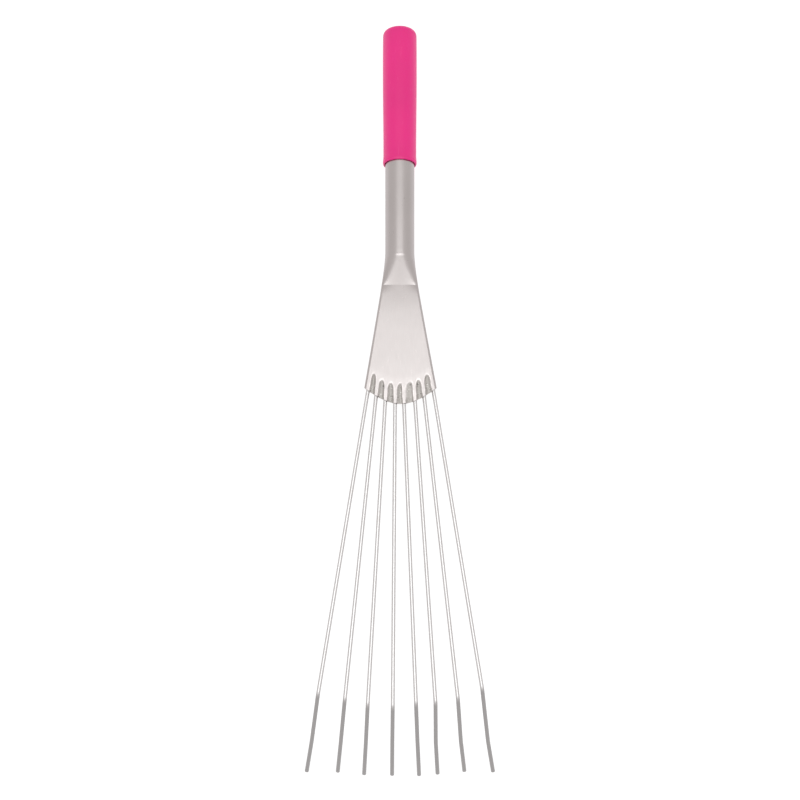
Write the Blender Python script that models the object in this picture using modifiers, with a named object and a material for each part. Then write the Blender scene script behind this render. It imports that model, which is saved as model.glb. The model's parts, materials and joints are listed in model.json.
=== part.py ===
"""Hand spring-tine rake: a soft sleeve, a rolled sheet-steel handle pressed into a fan head, and
eight hooked spring wires gripped in the head's lower edge.

It is drawn flat first: X across, Y up the handle from the head's lower edge, Z out of the head's
upper face, the handle's axis on X = Z = 0. A parent empty then tilts it to lie on its tips and sleeve.
"""

import math

import bmesh
import bpy
from mathutils import Matrix, Vector

MM = 0.001

# handle tube
TUBE_R = 9.65  # inside the sleeve
NECK_R = 9.5  # just above the head
SHEET = 0.8
TUBE_END_Y = 254.0

# neck: a flat facet runs down from the tube's top to the head's face
NECK_TOP_Y = 95.0
CREASE_Y = 77.0

# head
HEAD_HALF_T = 2.35
FLARE = ((254.0, TUBE_R), (165.0, TUBE_R), (100.0, NECK_R), (92.0, 10.0), (84.0, 10.9), (77.0, 11.9),
         (71.0, 12.8), (55.0, 15.4), (43.0, 17.35), (30.0, 19.5), (18.0, 21.5),
         (11.0, 22.7), (6.0, 23.5), (-4.0, 25.1))
LEAN = 0.5 / 80  # the fan leans this much to the right, per millimetre below the crease
EDGE_LOW_Y = -2.8  # the lower edge is lowest in the middle
EDGE_CURVE = 0.0238
EDGE_EASE = 0.0004
CRIMP_LENGTH = 13.0
CRIMP_DEPTH = 1.4
RIDGE_HALF = 1.1  # flat top of the ridge over each wire
RIDGE_FOOT = 2.05
FOLD_TURNS = (30.0, 52.0, 72.0, 90.0)  # columns round each side fold

# sleeve
GRIP_RIM_Y = 161.2
GRIP_END_Y = 258.5
GRIP_BORE_R = TUBE_R + 0.3
GRIP_END_FILLET = 4.2

# wires: across position at the mouth, fan slope, then bend, mid-hook and tip as (across, down the head)
WIRE_R = 1.25
WIRE_BURIED = 19.0
WIRES = (
    {"mouth": -21.9, "fan": -0.153, "bend": (-50.0, -186.6), "mid": (-54.4, -213.0), "tip": (-57.9, -230.5)},
    {"mouth": -15.8, "fan": -0.096, "bend": (-33.6, -189.9), "mid": (-36.4, -213.5), "tip": (-38.6, -230.7)},
    {"mouth": -9.45, "fan": -0.053, "bend": (-19.6, -193.2), "mid": (-20.9, -214.0), "tip": (-22.2, -232.2)},
    {"mouth": -3.05, "fan": -0.007, "bend": (-4.3, -194.4), "mid": (-4.6, -214.0), "tip": (-4.8, -232.6)},
    {"mouth": 2.7, "fan": 0.038, "bend": (9.9, -192.3), "mid": (10.9, -213.7), "tip": (12.0, -232.8)},
    {"mouth": 9.9, "fan": 0.063, "bend": (21.8, -191.7), "mid": (22.2, -213.8), "tip": (23.5, -231.9)},
    {"mouth": 16.2, "fan": 0.104, "bend": (35.5, -189.3), "mid": (37.7, -213.2), "tip": (40.2, -230.3)},
    {"mouth": 23.0, "fan": 0.152, "bend": (50.4, -183.2), "mid": (54.5, -213.0), "tip": (58.0, -230.6)},
)
MOUTH_Y = -4.0  # where "mouth" is measured
BEND_R = 5.0

# how it lies: tilted about X until the sleeve's end and all the tips are on one level
REST_TILT = math.radians(2.65)
GRIP_END_R = 11.35


def material(name, colour, metallic, roughness):
    mat = bpy.data.materials.new(name)
    mat.use_nodes = True
    shader = mat.node_tree.nodes["Principled BSDF"]
    shader.inputs["Base Color"].default_value = (*colour, 1)
    shader.inputs["Metallic"].default_value = metallic
    shader.inputs["Roughness"].default_value = roughness
    return mat


def add(name, data, home, parent, mat):
    obj = bpy.data.objects.new(name, data)
    home.objects.link(obj)
    obj.parent = parent
    data.materials.append(mat)
    return obj


def between(table, y):
    """Reads a table of (y, value) rows, whose y falls, with straight lines between the rows."""
    for (y0, v0), (y1, v1) in zip(table, table[1:]):
        if y >= y1:
            return v0 + (v1 - v0) * (min(y, y0) - y0) / (y1 - y0)
    return table[-1][1]


def smooth(t):
    t = max(0.0, min(1.0, t))
    return t * t * (3 - 2 * t)


def edge_y(x):
    """The head's lower edge: round, and flatter towards its corners."""
    out = (x - LEAN * (CREASE_Y - EDGE_LOW_Y)) ** 2
    return EDGE_LOW_Y + EDGE_CURVE * out / (1 + EDGE_EASE * out)


def wire_x(wire, y):
    return wire["mouth"] + wire["fan"] * (MOUTH_Y - y)


def face_columns():
    """One upper face's columns from left to right: (nearest wire, offset from it, how far it is pressed)."""
    columns = []
    for n in range(len(WIRES)):
        if n:
            columns.append((n, -RIDGE_FOOT, 1))
            columns.append((n, -RIDGE_HALF, 0))
        columns.append((n, 0.0, 0))
        if n < len(WIRES) - 1:
            columns.append((n, RIDGE_HALF, 0))
            columns.append((n, RIDGE_FOOT, 1))
    return columns


def column_x(column, y, spread):
    """Where a column stands at height y; spread is 0 at a groove's pointed top and 1 below it."""
    n, offset, pressed = column
    x = wire_x(WIRES[n], y)
    if offset > 0:
        middle = (x + wire_x(WIRES[n + 1], y)) / 2
    elif offset < 0:
        middle = (x + wire_x(WIRES[n - 1], y)) / 2
    else:
        return x
    gathered = middle - math.copysign(0.12 if pressed else 0.5, offset)
    return gathered + (x + offset - gathered) * spread


def ring_column(column, side, turn, y, spread):
    """Across position at height y of a face column, or of a side fold's column at that turn."""
    half = between(FLARE, y)
    lean = LEAN * max(0.0, CREASE_Y - y)
    if column:
        share = (column_x(column, 20.0, 1.0) - LEAN * (CREASE_Y - 20.0)) / between(FLARE, 20.0)
        low = column_x(column, y, spread)
    else:
        inset = HEAD_HALF_T * (1 - math.sin(math.radians(turn)))
        share = side * (1 - inset / between(FLARE, 20.0))
        low = lean + side * (half - inset)
    high = lean + share * half
    follow = 1 - smooth((y - 20.0) / 25.0)
    return high + (low - high) * follow


def height(x, y):
    """Half the head's or tube's thickness there, before the grooves are pressed."""
    half = between(FLARE, y)
    x = abs(x - LEAN * max(0.0, CREASE_Y - y))
    if y >= NECK_TOP_Y:
        tall, flat = half, 0.0
    elif y > CREASE_Y:
        down = (NECK_TOP_Y - y) / (NECK_TOP_Y - CREASE_Y)
        tall = NECK_R + (HEAD_HALF_T - NECK_R) * down
        flat = (between(FLARE, CREASE_Y) - HEAD_HALF_T) * down**0.64
    else:
        tall, flat = HEAD_HALF_T, half - HEAD_HALF_T
    over = max(0.0, x - flat) / (half - flat)
    return tall * math.sqrt(max(0.0, 1 - over * over)) if over < 0.999999 else 0.0


def section(y_rows, spread, press):
    """One ring around the head or tube, from left to right over the top and back underneath."""
    columns = [(None, -1, turn) for turn in reversed(FOLD_TURNS)]
    columns += [(column, 0, 0) for column in face_columns()]
    columns += [(None, 1, turn) for turn in FOLD_TURNS]
    top, low = [], []
    for column, side, turn in columns:
        x = 0.0
        for _ in range(6):
            y = y_rows(x)
            x = ring_column(column, side, turn, y, spread)
        z = height(x, y) - (CRIMP_DEPTH * press if column and column[2] else 0.0)
        top.append(Vector((x, y, z)))
        low.append(Vector((x, y, -z)))
    low.reverse()
    return top + low[1:-1]


def head_rows():
    """(heights, spread of the grooves' sides, how deep the grooves are) for each ring, from the top."""
    rows = [(lambda x, y=y: y, 1.0, 0.0) for y in (TUBE_END_Y, 165.0, 100.0, 97.0, 95.8, 94.0, 91.0, 87.0)]
    rows += [(lambda x, y=y: y, 1.0, 0.0) for y in (82.0, 77.0, 71.0, 55.0, 43.0, 30.0)]
    for up, spread, press in ((19.0, 0.0, 0.0), (CRIMP_LENGTH, 0.0, 0.0), (11.2, 0.55, 0.55),
                              (9.2, 0.9, 0.95), (7.5, 1.0, 1.0), (0.0, 1.0, 1.0)):
        rows.append((lambda x, up=up: edge_y(x) + up, spread, press))
    return rows


def build_handle_head(home, parent, mat):
    mesh = bpy.data.meshes.new("handle_head")
    bm = bmesh.new()
    rings = []
    for y_rows, spread, press in head_rows():
        rings.append([bm.verts.new(p * MM) for p in section(y_rows, spread, press)])
    for upper, lower in zip(rings, rings[1:]):
        for i in range(len(upper)):
            j = (i + 1) % len(upper)
            face = bm.faces.new((upper[i], upper[j], lower[j], lower[i]))
            face.smooth = True
    bmesh.ops.recalc_face_normals(bm, faces=bm.faces)
    bm.to_mesh(mesh)
    bm.free()
    obj = add("handle_head", mesh, home, parent, mat)
    wall = obj.modifiers.new("sheet", "SOLIDIFY")
    wall.thickness = SHEET * MM
    wall.offset = -1
    wall.use_even_offset = True
    return obj


def build_grip(home, parent, mat):
    """Turned about its own Z, then laid along the handle."""
    inner_end = TUBE_END_Y + 0.3 - GRIP_RIM_Y
    length = GRIP_END_Y - GRIP_RIM_Y
    profile = [(0.0, length)]
    for n in range(5):
        turn = math.radians(90 - n * 22.5)
        profile.append((GRIP_END_R - GRIP_END_FILLET + GRIP_END_FILLET * math.cos(turn),
                        length - GRIP_END_FILLET + GRIP_END_FILLET * math.sin(turn)))
    profile += [(11.38, 70.0), (11.3, 50.0), (11.1, 34.0), (10.95, 20.0), (10.88, 5.0), (11.05, 2.2),
                (11.15, 1.2), (11.0, 0.3), (10.7, 0.0), (GRIP_BORE_R, 0.0), (GRIP_BORE_R, inner_end),
                (0.0, inner_end)]
    mesh = bpy.data.meshes.new("grip")
    bm = bmesh.new()
    verts = [bm.verts.new((r * MM, 0.0, z * MM)) for r, z in profile]
    for a, b in zip(verts, verts[1:]):
        bm.edges.new((a, b))
    bm.to_mesh(mesh)
    bm.free()
    obj = add("grip", mesh, home, parent, mat)
    obj.location = (0, GRIP_RIM_Y * MM, 0)
    obj.rotation_euler = (-math.pi / 2, 0, 0)
    turn = obj.modifiers.new("turned", "SCREW")
    turn.axis = "Z"
    turn.steps = turn.render_steps = 40
    turn.use_merge_vertices = True
    turn.merge_threshold = 0.00001
    turn.use_normal_calculate = True
    turn.use_smooth_shade = True
    return obj


def rest_turn():
    return Matrix.Rotation(-REST_TILT, 4, "X")


def rest_level():
    """The lowest height that the sleeve reaches once tilted, with the handle's axis at zero."""
    return (rest_turn() @ Vector((0, GRIP_END_Y - GRIP_END_FILLET, -GRIP_END_R))).z


def tip_point(wire):
    """The wire's end, let down until its rim meets the level that the sleeve lies on."""
    bend = Vector((*wire["bend"], 0))
    drop = 32.0
    for _ in range(20):
        tip = Vector((*wire["tip"], -drop))
        along = (rest_turn() @ (tip - bend)).normalized()
        low = (rest_turn() @ tip).z - WIRE_R * math.sqrt(1 - along.z**2)
        drop += low - rest_level()
    return tip


def wire_path(wire):
    """The wire's centre line, root first: straight, a tight bend, then a hook that flares a little."""
    mouth = Vector((wire_x(wire, edge_y(wire["mouth"])), edge_y(wire["mouth"]), 0))
    bend = Vector((*wire["bend"], 0))
    tip = tip_point(wire)
    share = (bend.y - wire["mid"][1]) / (bend.y - tip.y)
    mid = Vector((*wire["mid"], tip.z * share))
    along = (bend - mouth).normalized()
    down = (mid - bend).normalized()
    angle = along.angle(down)
    cut = BEND_R * math.tan(angle / 2)
    root = mouth - along * WIRE_BURIED
    start, stop = bend - along * cut, bend + down * cut
    path = [root, mouth, start]
    for t in (0.25, 0.5, 0.75):
        path.append(start * (1 - t) ** 2 + bend * 2 * t * (1 - t) + stop * t * t)
    path += [stop, mid, tip]
    return mouth, path


def build_tine(number, wire, home, parent, mat):
    pivot, path = wire_path(wire)
    curve = bpy.data.curves.new(f"tine_{number}", "CURVE")
    curve.dimensions = "3D"
    curve.bevel_depth = WIRE_R * MM
    curve.bevel_resolution = 2
    curve.use_fill_caps = True
    spline = curve.splines.new("POLY")
    spline.points.add(len(path) - 1)
    for point, place in zip(spline.points, path):
        point.co = (*((place - pivot) * MM), 1)
    obj = add(f"tine_{number}", curve, home, parent, mat)
    obj.location = pivot * MM
    return obj


def main():
    for obj in list(bpy.data.objects):
        bpy.data.objects.remove(obj, do_unlink=True)
    home = bpy.data.collections.new("hand_rake")
    bpy.context.scene.collection.children.link(home)

    rest = bpy.data.objects.new("rest", None)
    home.objects.link(rest)
    tips = [tip_point(wire) for wire in WIRES]
    back = (rest_turn() @ Vector((0, GRIP_END_Y, GRIP_END_R - GRIP_END_FILLET))).y
    front = min((rest_turn() @ tip).y for tip in tips) - WIRE_R * 0.55
    rest.rotation_euler = (-REST_TILT, 0, 0)
    rest.location = Vector((-(tips[0].x + tips[-1].x) / 2, -(back + front) / 2, -rest_level())) * MM

    pink = material("grip_pvc", (0.80, 0.045, 0.24), 0.0, 0.42)
    steel = material("handle_steel", (0.62, 0.60, 0.59), 1.0, 0.38)
    wire_steel = material("wire_steel", (0.66, 0.65, 0.64), 1.0, 0.3)
    build_grip(home, rest, pink)
    build_handle_head(home, rest, steel)
    for number, wire in enumerate(WIRES, 1):
        build_tine(number, wire, home, rest, wire_steel)


main()
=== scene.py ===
import json
import math

import bmesh
import bpy
from bpy.props import FloatProperty, FloatVectorProperty, IntProperty, PointerProperty
from mathutils import Matrix, Vector


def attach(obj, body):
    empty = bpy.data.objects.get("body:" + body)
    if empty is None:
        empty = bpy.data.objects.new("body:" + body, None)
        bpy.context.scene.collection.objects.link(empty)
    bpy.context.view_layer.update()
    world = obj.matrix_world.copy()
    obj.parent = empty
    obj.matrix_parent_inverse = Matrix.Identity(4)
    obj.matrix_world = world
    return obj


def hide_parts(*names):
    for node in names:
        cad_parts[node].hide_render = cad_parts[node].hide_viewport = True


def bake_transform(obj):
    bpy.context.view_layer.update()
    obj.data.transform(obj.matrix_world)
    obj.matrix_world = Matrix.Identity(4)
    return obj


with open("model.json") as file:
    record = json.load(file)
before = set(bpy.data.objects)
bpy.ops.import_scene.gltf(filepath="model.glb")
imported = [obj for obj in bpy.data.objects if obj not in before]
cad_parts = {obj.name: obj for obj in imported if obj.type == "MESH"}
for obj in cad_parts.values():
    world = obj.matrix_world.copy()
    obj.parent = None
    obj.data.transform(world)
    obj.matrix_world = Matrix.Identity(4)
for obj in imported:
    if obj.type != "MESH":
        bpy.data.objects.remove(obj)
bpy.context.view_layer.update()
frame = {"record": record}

bl_info = {
    "name": "Hand Spring-Tine Rake",
    "version": (1, 0, 0),
    "blender": (4, 5, 0),
    "location": "View3D > Sidebar > Hand Rake",
    "description": "Builds a small hand rake with a soft sleeve, a pressed steel head and sprung wire tines",
    "category": "Add Mesh",
}

# The rake is drawn flat, in millimetres: X across, Y up the handle from the head's lower edge, Z out of
# the head's upper face, with the handle's axis on X = Z = 0. flat_to_rest then lays it on its tips.
MM = 0.001
GRIP_END = 258.5
GRIP_RIM = 161.2
TUBE_END = 254.0
NECK_TOP = 95.0
CREASE = 77.0  # where the neck meets the flat of the fan
NECK_RADIUS = 9.5
EDGE_LOW = -2.8  # the lowest point of the fan's lower edge
EDGE_CURVE = 0.0238
EDGE_EASE = 0.0004
LEAN = 0.5 / 80  # how far the fan drifts to the right on its way down
MOUTH = -4.0  # where WIRES gives each wire's place across

# (height, half width) of the tube and of the fan that it opens into
FLARE = ((254.0, 9.65), (165.0, 9.65), (100.0, 9.5), (92.0, 10.0), (84.0, 10.9), (77.0, 11.9),
         (71.0, 12.8), (55.0, 15.4), (43.0, 17.35), (30.0, 19.5), (18.0, 21.5),
         (11.0, 22.7), (6.0, 23.5), (-4.0, 25.1))

# across at the mouth, fan slope, then bend, mid-hook and tip as (across, down the head)
WIRES = (
    {"mouth": -21.9, "fan": -0.153, "bend": (-50.0, -186.6), "mid": (-54.4, -213.0), "tip": (-57.9, -230.5)},
    {"mouth": -15.8, "fan": -0.096, "bend": (-33.6, -189.9), "mid": (-36.4, -213.5), "tip": (-38.6, -230.7)},
    {"mouth": -9.45, "fan": -0.053, "bend": (-19.6, -193.2), "mid": (-20.9, -214.0), "tip": (-22.2, -232.2)},
    {"mouth": -3.05, "fan": -0.007, "bend": (-4.3, -194.4), "mid": (-4.6, -214.0), "tip": (-4.8, -232.6)},
    {"mouth": 2.7, "fan": 0.038, "bend": (9.9, -192.3), "mid": (10.9, -213.7), "tip": (12.0, -232.8)},
    {"mouth": 9.9, "fan": 0.063, "bend": (21.8, -191.7), "mid": (22.2, -213.8), "tip": (23.5, -231.9)},
    {"mouth": 16.2, "fan": 0.104, "bend": (35.5, -189.3), "mid": (37.7, -213.2), "tip": (40.2, -230.3)},
    {"mouth": 23.0, "fan": 0.152, "bend": (50.4, -183.2), "mid": (54.5, -213.0), "tip": (58.0, -230.6)},
)

# each pressed groove, left to right: its length, its depth, and how far across it the lowest line lies
GROOVES = (
    {"length": 14.3, "depth": 1.10, "lowest": 0.50},
    {"length": 13.1, "depth": 1.00, "lowest": 0.62},
    {"length": 13.3, "depth": 0.95, "lowest": 0.58},
    {"length": 14.0, "depth": 1.05, "lowest": 0.88},
    {"length": 14.3, "depth": 0.55, "lowest": 0.75},
    {"length": 13.4, "depth": 0.90, "lowest": 0.50},
    {"length": 13.8, "depth": 0.95, "lowest": 0.50},
)
GROOVE_ARCH = 5.0  # length of the pointed arch at a groove's upper end
GROOVE_RISE = 3.2  # length over which a groove rises to meet the fan
GROOVE_MOUTH = 1.36  # depth of every groove at the lower edge, where the two skins all but meet


# ---------------------------------------------------------------- shared shapes


def smooth(t):
    t = max(0.0, min(1.0, t))
    return t * t * (3 - 2 * t)


def soft_ramp(t, ease):
    """0 to 1 in a straight line, whose start is rounded over the length ease to each side."""
    if t <= -ease:
        return 0.0
    if t < ease:
        return (t + ease) ** 2 / (4 * ease)
    return min(t, 1.0)


def half_width(y):
    """Half the width at a height: an even curve through the rows of FLARE."""
    rows = FLARE
    if y >= rows[0][0]:
        return rows[0][1]
    for n in range(len(rows) - 1):
        (y0, w0), (y1, w1) = rows[n], rows[n + 1]
        if y >= y1:
            before = rows[n - 1] if n else (y0 + 1, w0)
            after = rows[n + 2] if n + 2 < len(rows) else (y1 * 2 - y0, w1 * 2 - w0)
            s0 = (w1 - before[1]) / (y1 - before[0])
            s1 = (after[1] - w0) / (after[0] - y0)
            if n < 2:  # the tube stays straight
                s0 = 0.0 if n == 0 else (w1 - w0) / (y1 - y0)
                s1 = (w1 - w0) / (y1 - y0)
            span = y1 - y0
            t = (y - y0) / span
            return ((2 * t**3 - 3 * t**2 + 1) * w0 + (t**3 - 2 * t**2 + t) * span * s0
                    + (3 * t**2 - 2 * t**3) * w1 + (t**3 - t**2) * span * s1)
    return rows[-1][1]


def edge_rise(x):
    """How far the head's lower edge stands above its middle: round, and flatter towards its corners."""
    out = (x - LEAN * (CREASE - EDGE_LOW)) ** 2
    return EDGE_CURVE * out / (1 + EDGE_EASE * out)


def wire_x(wire, y):
    return wire["mouth"] + wire["fan"] * (MOUTH - y)


def flat_to_rest():
    """From the rake drawn flat, in millimetres, to how it lies at rest."""
    mounts = {mount["name"]: mount for mount in frame["record"]["mounts"]}
    up = mounts["head_upper_face"]["axis"]
    end = Vector(mounts["grip_end_face"]["pos_m"])
    turn = Matrix.Rotation(-math.atan2(up[1], up[2]), 4, "X")
    return Matrix.Translation(end) @ turn @ Matrix.Translation((0, -GRIP_END * MM, 0)) @ Matrix.Scale(MM, 4)


def finish_piece(bm, name, material, body=None, stands_for=()):
    """Puts a mesh drawn flat into place, shades it smooth and ties it to the CAD part's bodies."""
    bm.transform(flat_to_rest())
    for face in bm.faces:
        face.smooth = True
    mesh = bpy.data.meshes.new(name)
    bm.to_mesh(mesh)
    bm.free()
    mesh.materials.append(material)
    piece = bpy.data.objects.new(name, mesh)
    bpy.context.scene.collection.objects.link(piece)
    if body:
        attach(piece, body)
    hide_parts(*stands_for)
    return piece


# ---------------------------------------------------------------- materials


class Surface:
    """A material with its shader, and short ways to add nodes to it."""

    def __init__(self, name):
        self.material = bpy.data.materials.new(name)
        self.material.use_nodes = True
        self.tree = self.material.node_tree
        self.shader = self.tree.nodes["Principled BSDF"]
        self.place = self.tree.nodes.new("ShaderNodeTexCoord").outputs["Object"]

    def link(self, source, target):
        self.tree.links.new(source, target)

    def stretched(self, scale, rotation=(0.0, 0.0, 0.0)):
        node = self.tree.nodes.new("ShaderNodeMapping")
        node.inputs["Scale"].default_value = scale
        node.inputs["Rotation"].default_value = rotation
        self.link(self.place, node.inputs["Vector"])
        return node.outputs["Vector"]

    def noise(self, scale, detail, rough, vector=None):
        node = self.tree.nodes.new("ShaderNodeTexNoise")
        node.inputs["Scale"].default_value = scale
        node.inputs["Detail"].default_value = detail
        node.inputs["Roughness"].default_value = rough
        self.link(vector or self.place, node.inputs["Vector"])
        return node.outputs["Fac"]

    def attribute(self, name):
        node = self.tree.nodes.new("ShaderNodeAttribute")
        node.attribute_name = name
        return node.outputs["Fac"]

    def spread(self, value, low, high, to_low, to_high):
        node = self.tree.nodes.new("ShaderNodeMapRange")
        for key, number in (("From Min", low), ("From Max", high), ("To Min", to_low), ("To Max", to_high)):
            node.inputs[key].default_value = number
        self.link(value, node.inputs["Value"])
        return node.outputs["Result"]

    def joined(self, a, b, operation="ADD"):
        node = self.tree.nodes.new("ShaderNodeMath")
        node.operation = operation
        for socket, value in zip(node.inputs, (a, b)):
            if isinstance(value, (int, float)):
                socket.default_value = value
            else:
                self.link(value, socket)
        return node.outputs[0]

    def mixed(self, share, first, second):
        node = self.tree.nodes.new("ShaderNodeMix")
        node.data_type = "RGBA"
        for socket, value in ((node.inputs[0], share), (node.inputs[6], first), (node.inputs[7], second)):
            if isinstance(value, tuple):
                socket.default_value = (*value, 1)
            else:
                self.link(value, socket)
        return node.outputs[2]

    def bump(self, height, distance, strength, under=None):
        node = self.tree.nodes.new("ShaderNodeBump")
        node.inputs["Distance"].default_value = distance
        node.inputs["Strength"].default_value = strength
        self.link(height, node.inputs["Height"])
        if under:
            self.link(under, node.inputs["Normal"])
        return node.outputs["Normal"]

    def set(self, **values):
        for key, value in values.items():
            socket = self.shader.inputs[key.replace("_", " ")]
            if isinstance(value, (tuple, int, float)):
                socket.default_value = (*value, 1) if isinstance(value, tuple) else value
            else:
                self.link(value, socket)


def dipped_pvc(sizes):
    """Soft dip-moulded PVC: an even satin skin with a faint orange peel and slow drifts of tone."""
    s = Surface("dipped_pvc")
    colour = tuple(sizes.colour)
    drift = s.spread(s.noise(28.0, 2.0, 0.5), 0.3, 0.7, 0.0, 1.0)
    deep = tuple(c * 0.93 for c in colour)
    base = s.mixed(drift, deep, colour)
    # faint scuffs that run along the sleeve
    scuffs = s.noise(900.0, 4.0, 0.6, s.stretched((1.0, 0.12, 1.0)))
    base = s.mixed(s.spread(scuffs, 0.62, 0.78, 0.0, 0.10), base, (0.95, 0.35, 0.55))
    peel = s.noise(1500.0, 2.0, 0.4)
    waves = s.noise(160.0, 2.0, 0.5)
    normal = s.bump(waves, 0.00012, 0.35, s.bump(peel, 0.00002, 0.6))
    rough = s.spread(scuffs, 0.3, 0.75, sizes.roughness - 0.04, sizes.roughness + 0.07)
    s.set(Base_Color=base, Roughness=rough, Normal=normal, IOR=1.53,
          Subsurface_Weight=0.06, Subsurface_Scale=0.0012)
    s.shader.inputs["Subsurface Radius"].default_value = (1.0, 0.35, 0.45)
    return s.material


def satin_steel(sizes):
    """Sheet steel with a fine satin grain, duller where the grooves were pressed, with a painted highlight on
    their rims and on the cut edge.
    """
    s = Surface("satin_steel")
    pressed = s.attribute("pressed")
    painted_glint = s.attribute("painted_glint")
    colour = tuple(sizes.colour)
    grain = s.noise(420.0, 4.0, 0.65, s.stretched((4.0, 0.22, 4.0)))
    clouds = s.noise(45.0, 3.0, 0.5)
    base = s.mixed(s.spread(clouds, 0.35, 0.65, 0.0, 1.0), tuple(c * 0.965 for c in colour), colour)
    base = s.mixed(s.spread(grain, 0.35, 0.7, 0.0, 0.18), base, tuple(c * 0.86 for c in colour))
    # painted highlight: a lighter copy of the steel on the groove rims and the cut edge, broken up by noise
    rim_glint_share = s.joined(painted_glint, s.spread(s.noise(290.0, 2.0, 0.5), 0.38, 0.62, 0.1, 1.0), "MULTIPLY")
    base = s.mixed(rim_glint_share, base, tuple(min(1.0, c * 1.24) for c in colour))
    base = s.mixed(s.joined(pressed, 0.8, "MULTIPLY"), base, (0.555, 0.54, 0.51))
    # galled specks left by the press, only in the grooves
    specks = s.noise(850.0, 2.0, 0.7)
    in_groove = s.spread(pressed, 0.5, 0.9, 0.0, 1.0)
    bright = s.joined(s.spread(specks, 0.60, 0.66, 0.0, 0.7), in_groove, "MULTIPLY")
    base = s.mixed(bright, base, (0.95, 0.93, 0.91))
    pits = s.noise(540.0, 2.0, 0.7, s.stretched((1.0, 1.0, 1.0), (0.4, 0.9, 0.2)))
    dark = s.joined(s.spread(pits, 0.61, 0.68, 0.0, 0.8), in_groove, "MULTIPLY")
    base = s.mixed(dark, base, (0.10, 0.095, 0.08))
    rough = s.joined(s.spread(grain, 0.3, 0.7, sizes.roughness - 0.03, sizes.roughness + 0.05),
                     s.joined(pressed, 0.3, "MULTIPLY"))
    normal = s.bump(grain, 0.000006, 0.5, s.bump(s.noise(90.0, 2.0, 0.5), 0.00006, 0.35))
    s.set(Base_Color=base, Metallic=1.0, Roughness=rough, Normal=normal)
    return s.material


def drawn_wire(sizes):
    """Bright drawn spring wire: die lines along it, a few soil-coloured patches, and painted shade below the
    bend, where it is also rougher.
    """
    s = Surface("drawn_wire")
    hook = s.attribute("hook")
    colour = tuple(sizes.colour)
    lines = s.noise(700.0, 3.0, 0.6, s.stretched((6.0, 0.15, 6.0)))
    patches = s.noise(120.0, 3.0, 0.6)
    base = s.mixed(s.spread(lines, 0.35, 0.7, 0.0, 0.25), colour, tuple(c * 0.85 for c in colour))
    base = s.mixed(s.spread(patches, 0.5, 0.75, 0.0, 0.12), base, (0.45, 0.38, 0.33))
    # painted shade: the hook below the bend is darkened to stand for the dimmer light that it reflects
    base = s.mixed(s.joined(hook, 0.9, "MULTIPLY"), base, tuple(c * 0.63 for c in colour))
    rough = s.joined(s.spread(lines, 0.3, 0.7, sizes.roughness - 0.03, sizes.roughness + 0.05),
                     s.joined(hook, 0.12, "MULTIPLY"))
    s.set(Base_Color=base, Metallic=1.0, Roughness=rough, Normal=s.bump(lines, 0.000008, 0.5))
    return s.material


# ---------------------------------------------------------------- settings


class RakeSleeveSizes(bpy.types.PropertyGroup):
    bore_radius: FloatProperty(
        name="Bore radius", description="Inside of the sleeve, which clears the tube",
        default=9.95 * MM, min=0.005, unit="LENGTH", subtype="DISTANCE")
    end_radius: FloatProperty(
        name="End radius", description="Outside of the sleeve at its closed end",
        default=11.35 * MM, min=0.006, unit="LENGTH", subtype="DISTANCE")
    end_rounding: FloatProperty(
        name="End rounding", description="Radius that rounds the closed end",
        default=4.2 * MM, min=0.001, unit="LENGTH", subtype="DISTANCE")
    sides: IntProperty(
        name="Sides", description="Facets round the sleeve", default=96, min=24, max=256)
    colour: FloatVectorProperty(
        name="Colour", description="Colour of the soft plastic", subtype="COLOR", size=3,
        default=(0.84, 0.014, 0.232), min=0.0, max=1.0)
    roughness: FloatProperty(
        name="Roughness", description="How satin the sleeve is",
        default=0.36, min=0.0, max=1.0, subtype="FACTOR")


class RakeHeadSizes(bpy.types.PropertyGroup):
    sheet: FloatProperty(
        name="Sheet", description="Thickness of the steel sheet",
        default=0.7 * MM, min=0.0003, unit="LENGTH", subtype="DISTANCE")
    half_thickness: FloatProperty(
        name="Half thickness", description="Half the thickness of the flattened head",
        default=2.35 * MM, min=0.001, unit="LENGTH", subtype="DISTANCE")
    fold: FloatProperty(
        name="Fold", description="Width of the rounded fold along each side of the head",
        default=1.6 * MM, min=0.0005, unit="LENGTH", subtype="DISTANCE")
    ridge: FloatProperty(
        name="Ridge half width", description="Half the width of the ridge left over each wire",
        default=1.0 * MM, min=0.0005, unit="LENGTH", subtype="DISTANCE")
    seam: FloatProperty(
        name="Seam depth", description="Depth of the butt seam along the underside",
        default=0.22 * MM, min=0.0, unit="LENGTH", subtype="DISTANCE")
    colour: FloatVectorProperty(
        name="Colour", description="Colour of the satin steel", subtype="COLOR", size=3,
        default=(0.57, 0.535, 0.525), min=0.0, max=1.0)
    roughness: FloatProperty(
        name="Roughness", description="How satin the steel is",
        default=0.30, min=0.0, max=1.0, subtype="FACTOR")


class RakeTineSizes(bpy.types.PropertyGroup):
    radius: FloatProperty(
        name="Wire radius", description="Radius of the spring wire",
        default=1.25 * MM, min=0.0005, unit="LENGTH", subtype="DISTANCE")
    bend_radius: FloatProperty(
        name="Bend radius", description="Radius of the bend at the top of each hook",
        default=5.0 * MM, min=0.002, unit="LENGTH", subtype="DISTANCE")
    buried: FloatProperty(
        name="Buried length", description="Length of each wire gripped inside the head",
        default=19.0 * MM, min=0.005, unit="LENGTH", subtype="DISTANCE")
    sides: IntProperty(
        name="Sides", description="Facets round each wire", default=20, min=8, max=64)
    colour: FloatVectorProperty(
        name="Colour", description="Colour of the drawn wire", subtype="COLOR", size=3,
        default=(0.71, 0.70, 0.695), min=0.0, max=1.0)
    roughness: FloatProperty(
        name="Roughness", description="How bright the wire is drawn",
        default=0.28, min=0.0, max=1.0, subtype="FACTOR")


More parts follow.
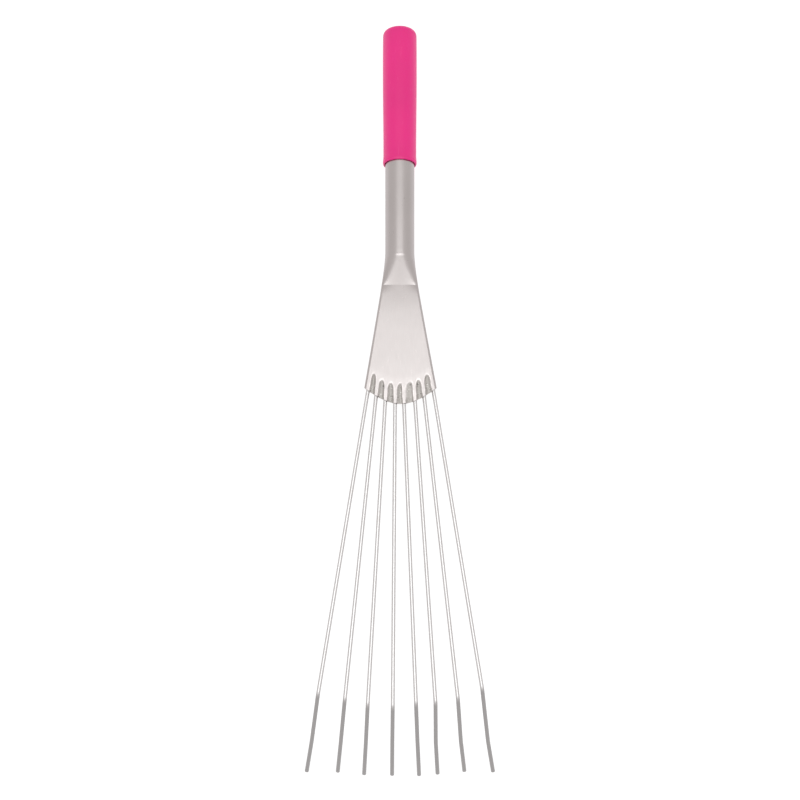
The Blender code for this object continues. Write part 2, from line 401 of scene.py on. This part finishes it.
class RakeStageSizes(bpy.types.PropertyGroup):
    floor_size: FloatProperty(
        name="Floor size", description="Width of the pale floor",
        default=6.0, min=1.0, unit="LENGTH", subtype="DISTANCE")
    floor_glow: FloatProperty(
        name="Floor glow", description="How far the floor is lit from below", default=0.80, min=0.0)
    surround: FloatVectorProperty(
        name="Surround", description="Colour of the soft light from all round", subtype="COLOR", size=3,
        default=(0.76, 0.735, 0.73), min=0.0, max=2.0)
    below: FloatVectorProperty(
        name="Below", description="Colour of the soft light from below the horizon", subtype="COLOR", size=3,
        default=(0.92, 0.90, 0.91), min=0.0, max=2.0)
    wide_softbox: FloatProperty(
        name="Wide softbox", description="Power of the wide overhead softbox",
        default=5.9, min=0.0, unit="POWER")
    near_softbox: FloatProperty(
        name="Near softbox", description="Power of the softbox over the handle's side",
        default=3.8, min=0.0, unit="POWER")
    lens: FloatProperty(
        name="Lens", description="Focal length of the camera", default=81.0, min=20.0)
    camera_away: FloatProperty(
        name="Camera distance", description="From the head's lower edge to the camera",
        default=1.149, min=0.3, unit="LENGTH", subtype="DISTANCE")
    camera_lean: FloatProperty(
        name="Camera lean", description="How far the camera leans towards the tines",
        default=math.radians(15.3), subtype="ANGLE")
    camera_side: FloatProperty(
        name="Camera side", description="How far the camera aims to the right of the middle",
        default=0.13 * MM, unit="LENGTH", subtype="DISTANCE")


# ---------------------------------------------------------------- sleeve


class HANDRAKE_OT_sleeve(bpy.types.Operator):
    """Turn the soft sleeve with its closed end and rolled rim"""

    bl_idname = "handrake.sleeve"
    bl_label = "Sleeve"

    def execute(self, context):
        sizes = context.scene.rake_sleeve
        bore, end = sizes.bore_radius / MM, sizes.end_radius / MM
        rounding = sizes.end_rounding / MM
        length = GRIP_END - GRIP_RIM
        inner = TUBE_END + 0.3 - GRIP_RIM
        # half the section, (radius, height above the rim), from the closed end's middle to the bore
        profile = [(0.0, length), ((end - rounding) * 0.6, length), (end - rounding, length)]
        for n in range(1, 13):
            turn = math.radians(90 - n * 7.5)
            profile.append((end - rounding + rounding * math.cos(turn),
                            length - rounding + rounding * math.sin(turn)))
        body = ((11.38, 80.0), (11.39, 70.0), (11.34, 60.0), (11.28, 50.0), (11.18, 41.0), (11.08, 33.0),
                (11.0, 26.0), (10.94, 20.0), (10.9, 14.0), (10.88, 9.0), (10.88, 6.0), (10.93, 4.6))
        rim = ((11.03, 3.6), (11.12, 2.7), (11.16, 1.9), (11.14, 1.2), (11.05, 0.6), (10.9, 0.2),
               (10.7, 0.03), (10.45, 0.0), (10.2, 0.08), (bore + 0.08, 0.22), (bore, 0.5))
        profile += [*body, *rim, (bore, inner * 0.5), (bore, inner), (0.0, inner)]
        bm = bmesh.new()
        points = [bm.verts.new((radius, GRIP_RIM + height, 0.0)) for radius, height in profile]
        for first, second in zip(points, points[1:]):
            bm.edges.new((first, second))
        bmesh.ops.spin(bm, geom=bm.verts[:] + bm.edges[:], cent=(0, 0, 0), axis=(0, 1, 0), dvec=(0, 0, 0),
                       angle=math.tau, steps=sizes.sides, use_merge=True, use_duplicate=False)
        bmesh.ops.remove_doubles(bm, verts=bm.verts, dist=1e-4)
        bmesh.ops.recalc_face_normals(bm, faces=bm.faces)
        finish_piece(bm, "sleeve", dipped_pvc(sizes), "frame", ("grip",))
        return {"FINISHED"}


# ---------------------------------------------------------------- handle and head


def inside_groove(n, x, y, ridge, grown=0.0):
    """1 on a groove's lowest line, falling to 0 on its rim, which can be moved outwards."""
    groove = GROOVES[n]
    left = wire_x(WIRES[n], y) + ridge - grown
    right = wire_x(WIRES[n + 1], y) - ridge + grown
    nose = max(0.0, (y - EDGE_LOW - edge_rise(x) - groove["length"] - grown + GROOVE_ARCH) / GROOVE_ARCH)
    if nose >= 1:
        return 0.0
    lowest = left + (right - left) * groove["lowest"]
    side = (lowest - left) if x < lowest else (right - lowest)
    return max(0.0, 1 - abs(x - lowest) / (side * (1 - nose**1.7) ** 0.7))


def groove_depth(n, x, y, ridge):
    """How far a groove is pressed in: deepest, and squarest across, at the lower edge."""
    off = 1 - inside_groove(n, x, y, ridge)
    up = y - EDGE_LOW - edge_rise(x)
    mouth = 1 - smooth(up / 5)
    deepest = GROOVES[n]["depth"] + (GROOVE_MOUTH - GROOVES[n]["depth"]) * mouth
    across = (1 - off * off) ** (1.3 - 0.4 * mouth)
    return deepest * across * smooth((GROOVES[n]["length"] - up) / GROOVE_RISE)


class HANDRAKE_OT_handle_head(bpy.types.Operator):
    """Form the rolled tube, its neck and the pressed fan head from one sheet"""

    bl_idname = "handrake.handle_head"
    bl_label = "Handle and head"

    across = 150  # faces from one side fold to the other, on each skin
    neck_ease = 0.045  # share of the neck's length that rounds its upper end
    neck_bow = 0.12  # how far the neck bows inwards on its way down
    neck_square = 0.7  # how far the round section squares up by the crease
    short = 0.45  # how far the lower skin stops short of the upper one
    seam_width = 0.28

    def rows(self):
        """Heights of the rings at the middle of the head, from the tube's end to the lower edge."""
        heights = [TUBE_END, TUBE_END - 1, 210.0, 168.0, 150.0, 130.0, 115.0, 107.0]
        heights += [104.0, 102.0, 100.0, 98.5] + [97.5 - 0.5 * n for n in range(13)]
        heights += [90.6 - 1.0 * n for n in range(13)]
        heights += [CREASE + 0.8, CREASE, CREASE - 0.8]
        heights += [75.4 - 2.3 * n for n in range(24)]
        heights += [20.0, 17.5] + [15.6 - (15.48 - EDGE_LOW) * n / 54 for n in range(55)]
        return heights + [EDGE_LOW]

    def across_at(self, share, y, fold):
        """Distance from the middle, for a share of the way to the side fold's outermost line."""
        half = half_width(y)
        on_tube = half * math.sin(share * math.pi / 2)
        flat = half - fold
        way = abs(share) * (flat + fold * math.pi / 2)
        on_head = way if way < flat else flat + fold * math.sin((way - flat) / fold)
        formed = smooth((104.0 - y) / 30.0)
        return on_tube + (math.copysign(on_head, share) - on_tube) * formed

    def height_at(self, across, y, thick, fold):
        """Height of the upper face over the middle plane, before any pressing."""
        half = half_width(y)
        down = soft_ramp((NECK_TOP - y) / (NECK_TOP - CREASE), self.neck_ease)
        down += self.neck_bow * down * (1 - down)
        tall = (half if y > NECK_TOP + 3 else NECK_RADIUS) * (1 - down) + thick * down
        # a round section, which squares up down the neck and turns into a flat one with folded sides
        share = min(1.0, abs(across) / half)
        power = 2 + self.neck_square * smooth((NECK_TOP - y) / 20)
        crowned = tall * (1 - share**power) ** (1 / power)
        over = max(0.0, abs(across) - half + fold) / fold
        folded = tall * math.sqrt(max(0.0, 1 - over * over))
        return crowned + (folded - crowned) * smooth((80.5 - y) / 8.0)

    def settled(self, y, x, z, thick):
        """How far the flat of the head sits below its true plane."""
        share = smooth(z / thick)
        # a hollow along the crease, where the press draws the sheet down
        hollow = 0.3 * max(0.0, 1 - abs(CREASE - y) / 20) ** 2
        # the sheet closes down on the wires
        up = y - EDGE_LOW - edge_rise(x)
        closed = 0.07 * smooth((17.5 - up) / 6.5) + 0.004 * max(0.0, 11 - up)
        return share * (hollow + closed)

    def execute(self, context):
        sizes = context.scene.rake_head
        thick, ridge, fold = sizes.half_thickness / MM, sizes.ridge / MM, sizes.fold / MM
        heights = self.rows()
        bm = bmesh.new()
        bmesh.ops.create_cone(bm, cap_ends=False, segments=self.across * 2,
                              radius1=1.0, radius2=1.0, depth=1.0)
        upright = [edge for edge in bm.edges if abs(edge.verts[0].co.z - edge.verts[1].co.z) > 0.5]
        bmesh.ops.subdivide_edges(bm, edges=upright, cuts=len(heights) - 2, use_grid_fill=False)
        pressed = bm.verts.layers.float.new("pressed")
        painted_glint = bm.verts.layers.float.new("painted_glint")
        creased = set()
        for vert in bm.verts:
            turn = math.atan2(vert.co.y, vert.co.x) / math.pi  # 0 to 1 over the top, 0 to -1 underneath
            share = 1 - 2 * abs(turn)
            row = heights[round((vert.co.z + 0.5) * (len(heights) - 1))]
            x, y = 0.0, row
            for _ in range(4):  # the rows bow with the lower edge as they near it
                y = row + edge_rise(x) * smooth((45.0 - row) / 25.0)
                x = self.across_at(share, y, fold) + LEAN * max(0.0, CREASE - y)
            lean = LEAN * max(0.0, CREASE - y)
            z = self.height_at(x - lean, y, thick, fold)
            depth = rim = 0.0
            for n in range(len(GROOVES) if row < 20 else 0):
                depth = max(depth, groove_depth(n, x, y, ridge))
                rim = max(rim, smooth(inside_groove(n, x, y, ridge, 1.0) / 0.3))
            z -= depth + self.settled(y, x, z, thick)
            if turn < 0:  # the lower skin, with the seam where the sheet's edges meet
                y += self.short * (1 - smooth((row - EDGE_LOW) / 4))
                z -= sizes.seam / MM * math.exp(-((x - lean) / self.seam_width) ** 2) * (1 - smooth(depth))
            vert[pressed] = smooth(depth / 0.4)
            # painted highlight on each groove's rim, left off where the sheet was pressed
            vert[painted_glint] = rim * (1 - vert[pressed])
            if row == EDGE_LOW:  # painted highlight along the cut edge
                vert[pressed], vert[painted_glint] = 0.0, 1.5
            vert.co = (x, y, z if turn >= 0 else -z)
            if row == CREASE:
                creased.add(vert)
        for edge in bm.edges:  # the crease and the cut ends stay sharp
            edge.smooth = not (edge.is_boundary or creased.issuperset(edge.verts))
        bmesh.ops.recalc_face_normals(bm, faces=bm.faces)
        top = max(bm.faces, key=lambda face: face.calc_center_median().z)
        if top.normal.z < 0:
            bmesh.ops.reverse_faces(bm, faces=bm.faces)
        piece = finish_piece(bm, "tube_and_head", satin_steel(sizes), "frame", ("handle_head",))
        wall = piece.modifiers.new("sheet", "SOLIDIFY")
        wall.thickness = sizes.sheet
        wall.offset = -1
        return {"FINISHED"}


# ---------------------------------------------------------------- tines


class HANDRAKE_OT_tines(bpy.types.Operator):
    """Draw out the eight spring wires with their hooks and cut ends"""

    bl_idname = "handrake.tines"
    bl_label = "Tines"

    chamfer = 0.15  # millimetres off the rim of each cut end

    def tip_of(self, wire, radius):
        """The wire's end, let down until its rim meets the surface that the rake lies on."""
        place = flat_to_rest()
        bend = Vector((*wire["bend"], 0.0))
        drop = 32.0  # a first guess, which settles within a few rounds
        for _ in range(20):
            tip = Vector((*wire["tip"], -drop))
            along = (place.to_3x3() @ (tip - bend)).normalized()
            drop += (place @ tip).z / MM - radius * math.sqrt(1 - along.z**2)
        return tip

    def centre_line(self, wire, sizes):
        """The wire's mouth, its points from buried root to tip, and how far each is into the hook."""
        radius = sizes.radius / MM
        low = EDGE_LOW + edge_rise(wire["mouth"])
        mouth = Vector((wire_x(wire, low), low, 0.0))
        bend, tip = Vector((*wire["bend"], 0.0)), self.tip_of(wire, radius)
        share = (bend.y - wire["mid"][1]) / (bend.y - tip.y)
        mid = Vector((*wire["mid"], tip.z * share))
        along, down = (bend - mouth).normalized(), (mid - bend).normalized()
        cut = sizes.bend_radius / MM * math.tan(along.angle(down) / 2)
        start, stop = bend - along * cut, bend + down * cut
        root = mouth - along * sizes.buried / MM
        line = [(root.lerp(mouth, n / 3), 0.0) for n in range(3)]
        line += [(mouth.lerp(start, n / 44), 0.0) for n in range(44)]
        line += [(start * (1 - t) ** 2 + bend * 2 * t * (1 - t) + stop * t * t, t)
                 for t in (n / 12 for n in range(12))]
        # the hook springs outwards a little below its middle
        reach = (mid - stop).length / (tip - stop).length
        sway = mid - stop.lerp(tip, reach)
        for t in (n / 28 for n in range(29)):
            push = t / reach if t < reach else (1 - t) / (1 - reach)
            line.append((stop.lerp(tip, t) + sway * push, 1.0))
        return mouth, [point for point, _ in line], [hook for _, hook in line]

    def execute(self, context):
        sizes = context.scene.rake_tines
        radius = sizes.radius / MM
        metal = drawn_wire(sizes)
        for number, wire in enumerate(WIRES, 1):
            mouth, line, hooks = self.centre_line(wire, sizes)
            bm = bmesh.new()
            hook = bm.verts.layers.float.new("hook")
            centre, size = Vector(), radius - self.chamfer
            ring = bmesh.ops.create_circle(bm, cap_ends=False, segments=sizes.sides, radius=size)["verts"]
            facing = (line[1] - line[0]).normalized()
            upright = Vector((0, 0, 1)).rotation_difference(facing).to_matrix()
            bmesh.ops.rotate(bm, verts=ring, cent=centre, matrix=upright)
            centre = line[0] - facing * self.chamfer
            bmesh.ops.translate(bm, verts=ring, vec=centre)
            loop = bm.edges[:]
            bmesh.ops.contextual_create(bm, geom=loop)
            ends = [(point, 1.0) for point in line]
            last = line[-1]
            tail = (last - line[-2]).normalized()
            ends[-1] = (last - tail * self.chamfer, 1.0)
            ends.append((last, size / radius))
            for n, (point, share) in enumerate(ends):
                grown = bmesh.ops.extrude_edge_only(bm, edges=loop)["geom"]
                ring = [item for item in grown if isinstance(item, bmesh.types.BMVert)]
                loop = [item for item in grown if isinstance(item, bmesh.types.BMEdge)
                        and all(vert in ring for vert in item.verts)]
                after = ends[min(n + 1, len(ends) - 1)][0]
                before = ends[max(n - 1, 0)][0]
                aim = (after - before).normalized()
                bmesh.ops.translate(bm, verts=ring, vec=point - centre)
                turned = facing.rotation_difference(aim).to_matrix()
                bmesh.ops.rotate(bm, verts=ring, cent=point, matrix=turned)
                grow = radius * share / size
                bmesh.ops.scale(bm, verts=ring, vec=(grow, grow, grow), space=Matrix.Translation(-point))
                for vert in ring:
                    vert[hook] = hooks[min(n, len(hooks) - 1)]
                centre, facing, size = point, aim, radius * share
            bmesh.ops.contextual_create(bm, geom=loop)
            bmesh.ops.recalc_face_normals(bm, faces=bm.faces)
            piece = finish_piece(bm, f"wire_{number}", metal, None, (f"tine_{number}",))
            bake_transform(piece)
        return {"FINISHED"}


# ---------------------------------------------------------------- stage


class HANDRAKE_OT_stage(bpy.types.Operator):
    """Set the pale floor, the soft light and the camera"""

    bl_idname = "handrake.stage"
    bl_label = "Stage"

    def execute(self, context):
        sizes = context.scene.rake_stage
        scene = context.scene
        scene.view_settings.view_transform = "Standard"

        bm = bmesh.new()
        bmesh.ops.create_grid(bm, x_segments=1, y_segments=1, size=sizes.floor_size / 2)
        mesh = bpy.data.meshes.new("pale_floor")
        bm.to_mesh(mesh)
        bm.free()
        floor = bpy.data.objects.new("pale_floor", mesh)
        scene.collection.objects.link(floor)
        pale = Surface("pale_floor")
        pale.set(Base_Color=(0.35, 0.35, 0.35), Roughness=0.9, Emission_Color=(1.0, 1.0, 1.0),
                 Emission_Strength=sizes.floor_glow)
        mesh.materials.append(pale.material)
        floor.visible_glossy = False

        world = bpy.data.worlds.new("soft_surround")
        world.use_nodes = True
        # an even surround over a paler sweep below the horizon
        nodes, links = world.node_tree.nodes, world.node_tree.links
        split = nodes.new("ShaderNodeSeparateXYZ")
        links.new(nodes.new("ShaderNodeTexCoord").outputs["Generated"], split.inputs[0])
        rise = nodes.new("ShaderNodeMapRange")
        rise.interpolation_type = "SMOOTHSTEP"
        for key, number in (("From Min", -0.5), ("From Max", 0.1)):
            rise.inputs[key].default_value = number
        links.new(split.outputs["Z"], rise.inputs["Value"])
        blend = nodes.new("ShaderNodeMix")
        blend.data_type = "RGBA"
        blend.inputs[6].default_value = (*sizes.below, 1)
        blend.inputs[7].default_value = (*sizes.surround, 1)
        links.new(rise.outputs["Result"], blend.inputs[0])
        links.new(blend.outputs[2], nodes["Background"].inputs["Color"])
        scene.world = world

        softboxes = (("wide_softbox", sizes.wide_softbox, 1.67, (0.0, -0.105, 1.9)),
                     ("near_softbox", sizes.near_softbox, 0.88, (0.0, 0.29, 1.88)))
        for name, power, depth, spot in softboxes:
            lamp = bpy.data.lights.new(name, "AREA")
            lamp.shape = "RECTANGLE"
            lamp.size, lamp.size_y = 1.8, depth
            lamp.energy = power
            lamp.color = (0.97, 1.0, 1.01)
            box = bpy.data.objects.new(name, lamp)
            box.location = spot
            scene.collection.objects.link(box)

        camera = bpy.data.cameras.new("camera")
        camera.lens = sizes.lens
        camera.sensor_width = 36.0
        camera.clip_start, camera.clip_end = 0.01, 50.0
        view = bpy.data.objects.new("camera", camera)
        # aimed at the head's lower edge, from a little towards the tines
        place = flat_to_rest()
        aim = place @ Vector((sizes.camera_side / MM, 0.0, 0.0))
        lean = sizes.camera_lean
        away = Vector((0.0, -math.sin(lean), math.cos(lean))) * sizes.camera_away
        view.location = aim + place.to_3x3().normalized() @ away
        view.rotation_euler = (aim - view.location).to_track_quat("-Z", "Y").to_euler()
        scene.collection.objects.link(view)
        scene.camera = view
        return {"FINISHED"}


class HANDRAKE_PT_panel(bpy.types.Panel):
    """Sizes and colours of the rake, and the steps that build it"""

    bl_idname = "HANDRAKE_PT_panel"
    bl_label = "Hand Rake"
    bl_space_type = "VIEW_3D"
    bl_region_type = "UI"
    bl_category = "Hand Rake"

    def draw(self, context):
        for group, (step, _) in GROUPS.items():
            box = self.layout.box()
            for key in getattr(context.scene, group).bl_rna.properties.keys():
                if key not in ("rna_type", "name"):
                    box.prop(getattr(context.scene, group), key)
            box.operator(step)


GROUPS = {
    "rake_sleeve": ("handrake.sleeve", RakeSleeveSizes),
    "rake_head": ("handrake.handle_head", RakeHeadSizes),
    "rake_tines": ("handrake.tines", RakeTineSizes),
    "rake_stage": ("handrake.stage", RakeStageSizes),
}
CLASSES = (RakeSleeveSizes, RakeHeadSizes, RakeTineSizes, RakeStageSizes, HANDRAKE_OT_sleeve,
           HANDRAKE_OT_handle_head, HANDRAKE_OT_tines, HANDRAKE_OT_stage, HANDRAKE_PT_panel)


def register():
    for cls in CLASSES:
        bpy.utils.register_class(cls)
    for name, (_, group) in GROUPS.items():
        setattr(bpy.types.Scene, name, PointerProperty(type=group))


def unregister():
    for name in GROUPS:
        delattr(bpy.types.Scene, name)
    for cls in reversed(CLASSES):
        bpy.utils.unregister_class(cls)


def main():
    register()
    bpy.ops.handrake.sleeve()
    bpy.ops.handrake.handle_head()
    bpy.ops.handrake.tines()
    bpy.ops.handrake.stage()


if __name__ == "__main__":
    main()
